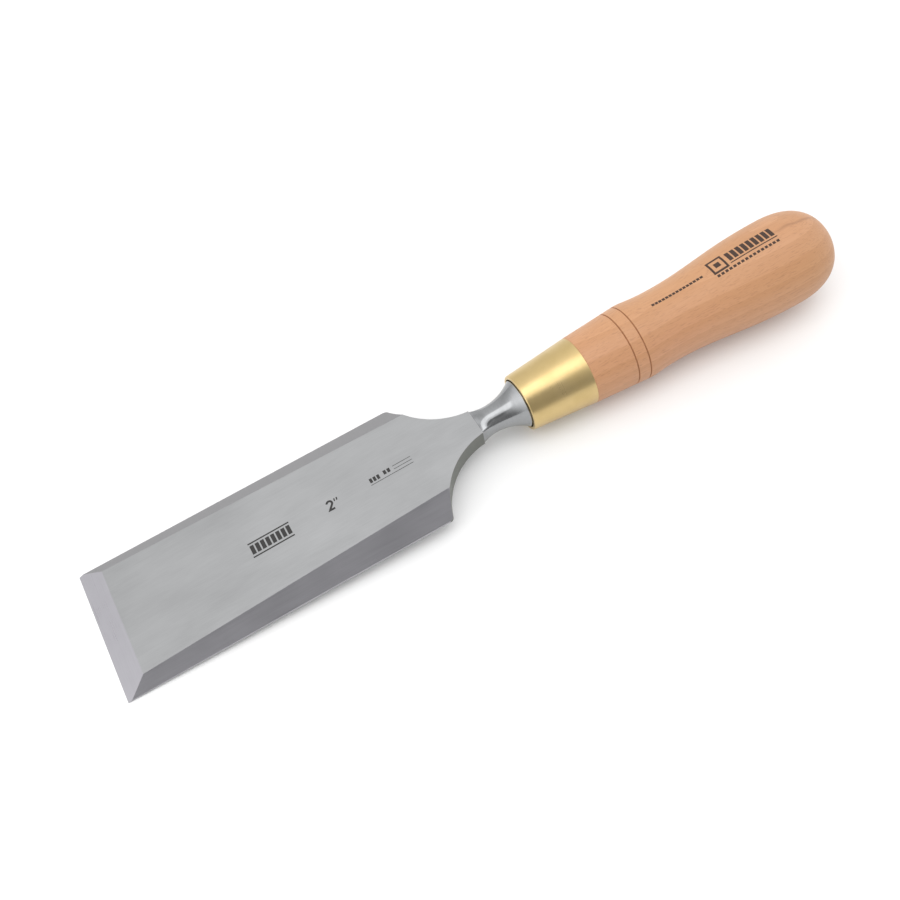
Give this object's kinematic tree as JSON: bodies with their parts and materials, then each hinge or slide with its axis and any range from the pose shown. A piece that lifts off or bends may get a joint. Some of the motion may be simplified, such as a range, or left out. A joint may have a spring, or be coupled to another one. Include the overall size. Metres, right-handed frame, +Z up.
{
  "type": "bench chisel",
  "caption": "Wide bevel-edge bench chisel lying on its flat back, with swept shoulders, a round neck, a conical brass ferrule and a waisted turned wooden handle.",
  "frame": {"origin": "on the bench, under the middle of the box of the chisel as it lies on its cutting edge and the swell of its handle", "axes": "+X from the cutting edge to the butt, +Y across the blade to the left seen from the butt, +Z up; the flat back faces down and is tipped 2.88 degrees from level, rising towards the handle"},
  "size_m": [0.289, 0.0508, 0.0344],
  "materials": {
    "ground_steel": "surface-ground flats with fine lengthwise and crosswise lines, polished neck",
    "brass": "satin, turned",
    "turned_wood": "pale close-grained hardwood, sanded and lightly waxed",
    "dark_mark": "flat dark marking"
  },
  "bodies": {
    "root": {"blade": "ground_steel", "ferrule": "brass", "handle": "turned_wood"}
  },
  "joints": []
}
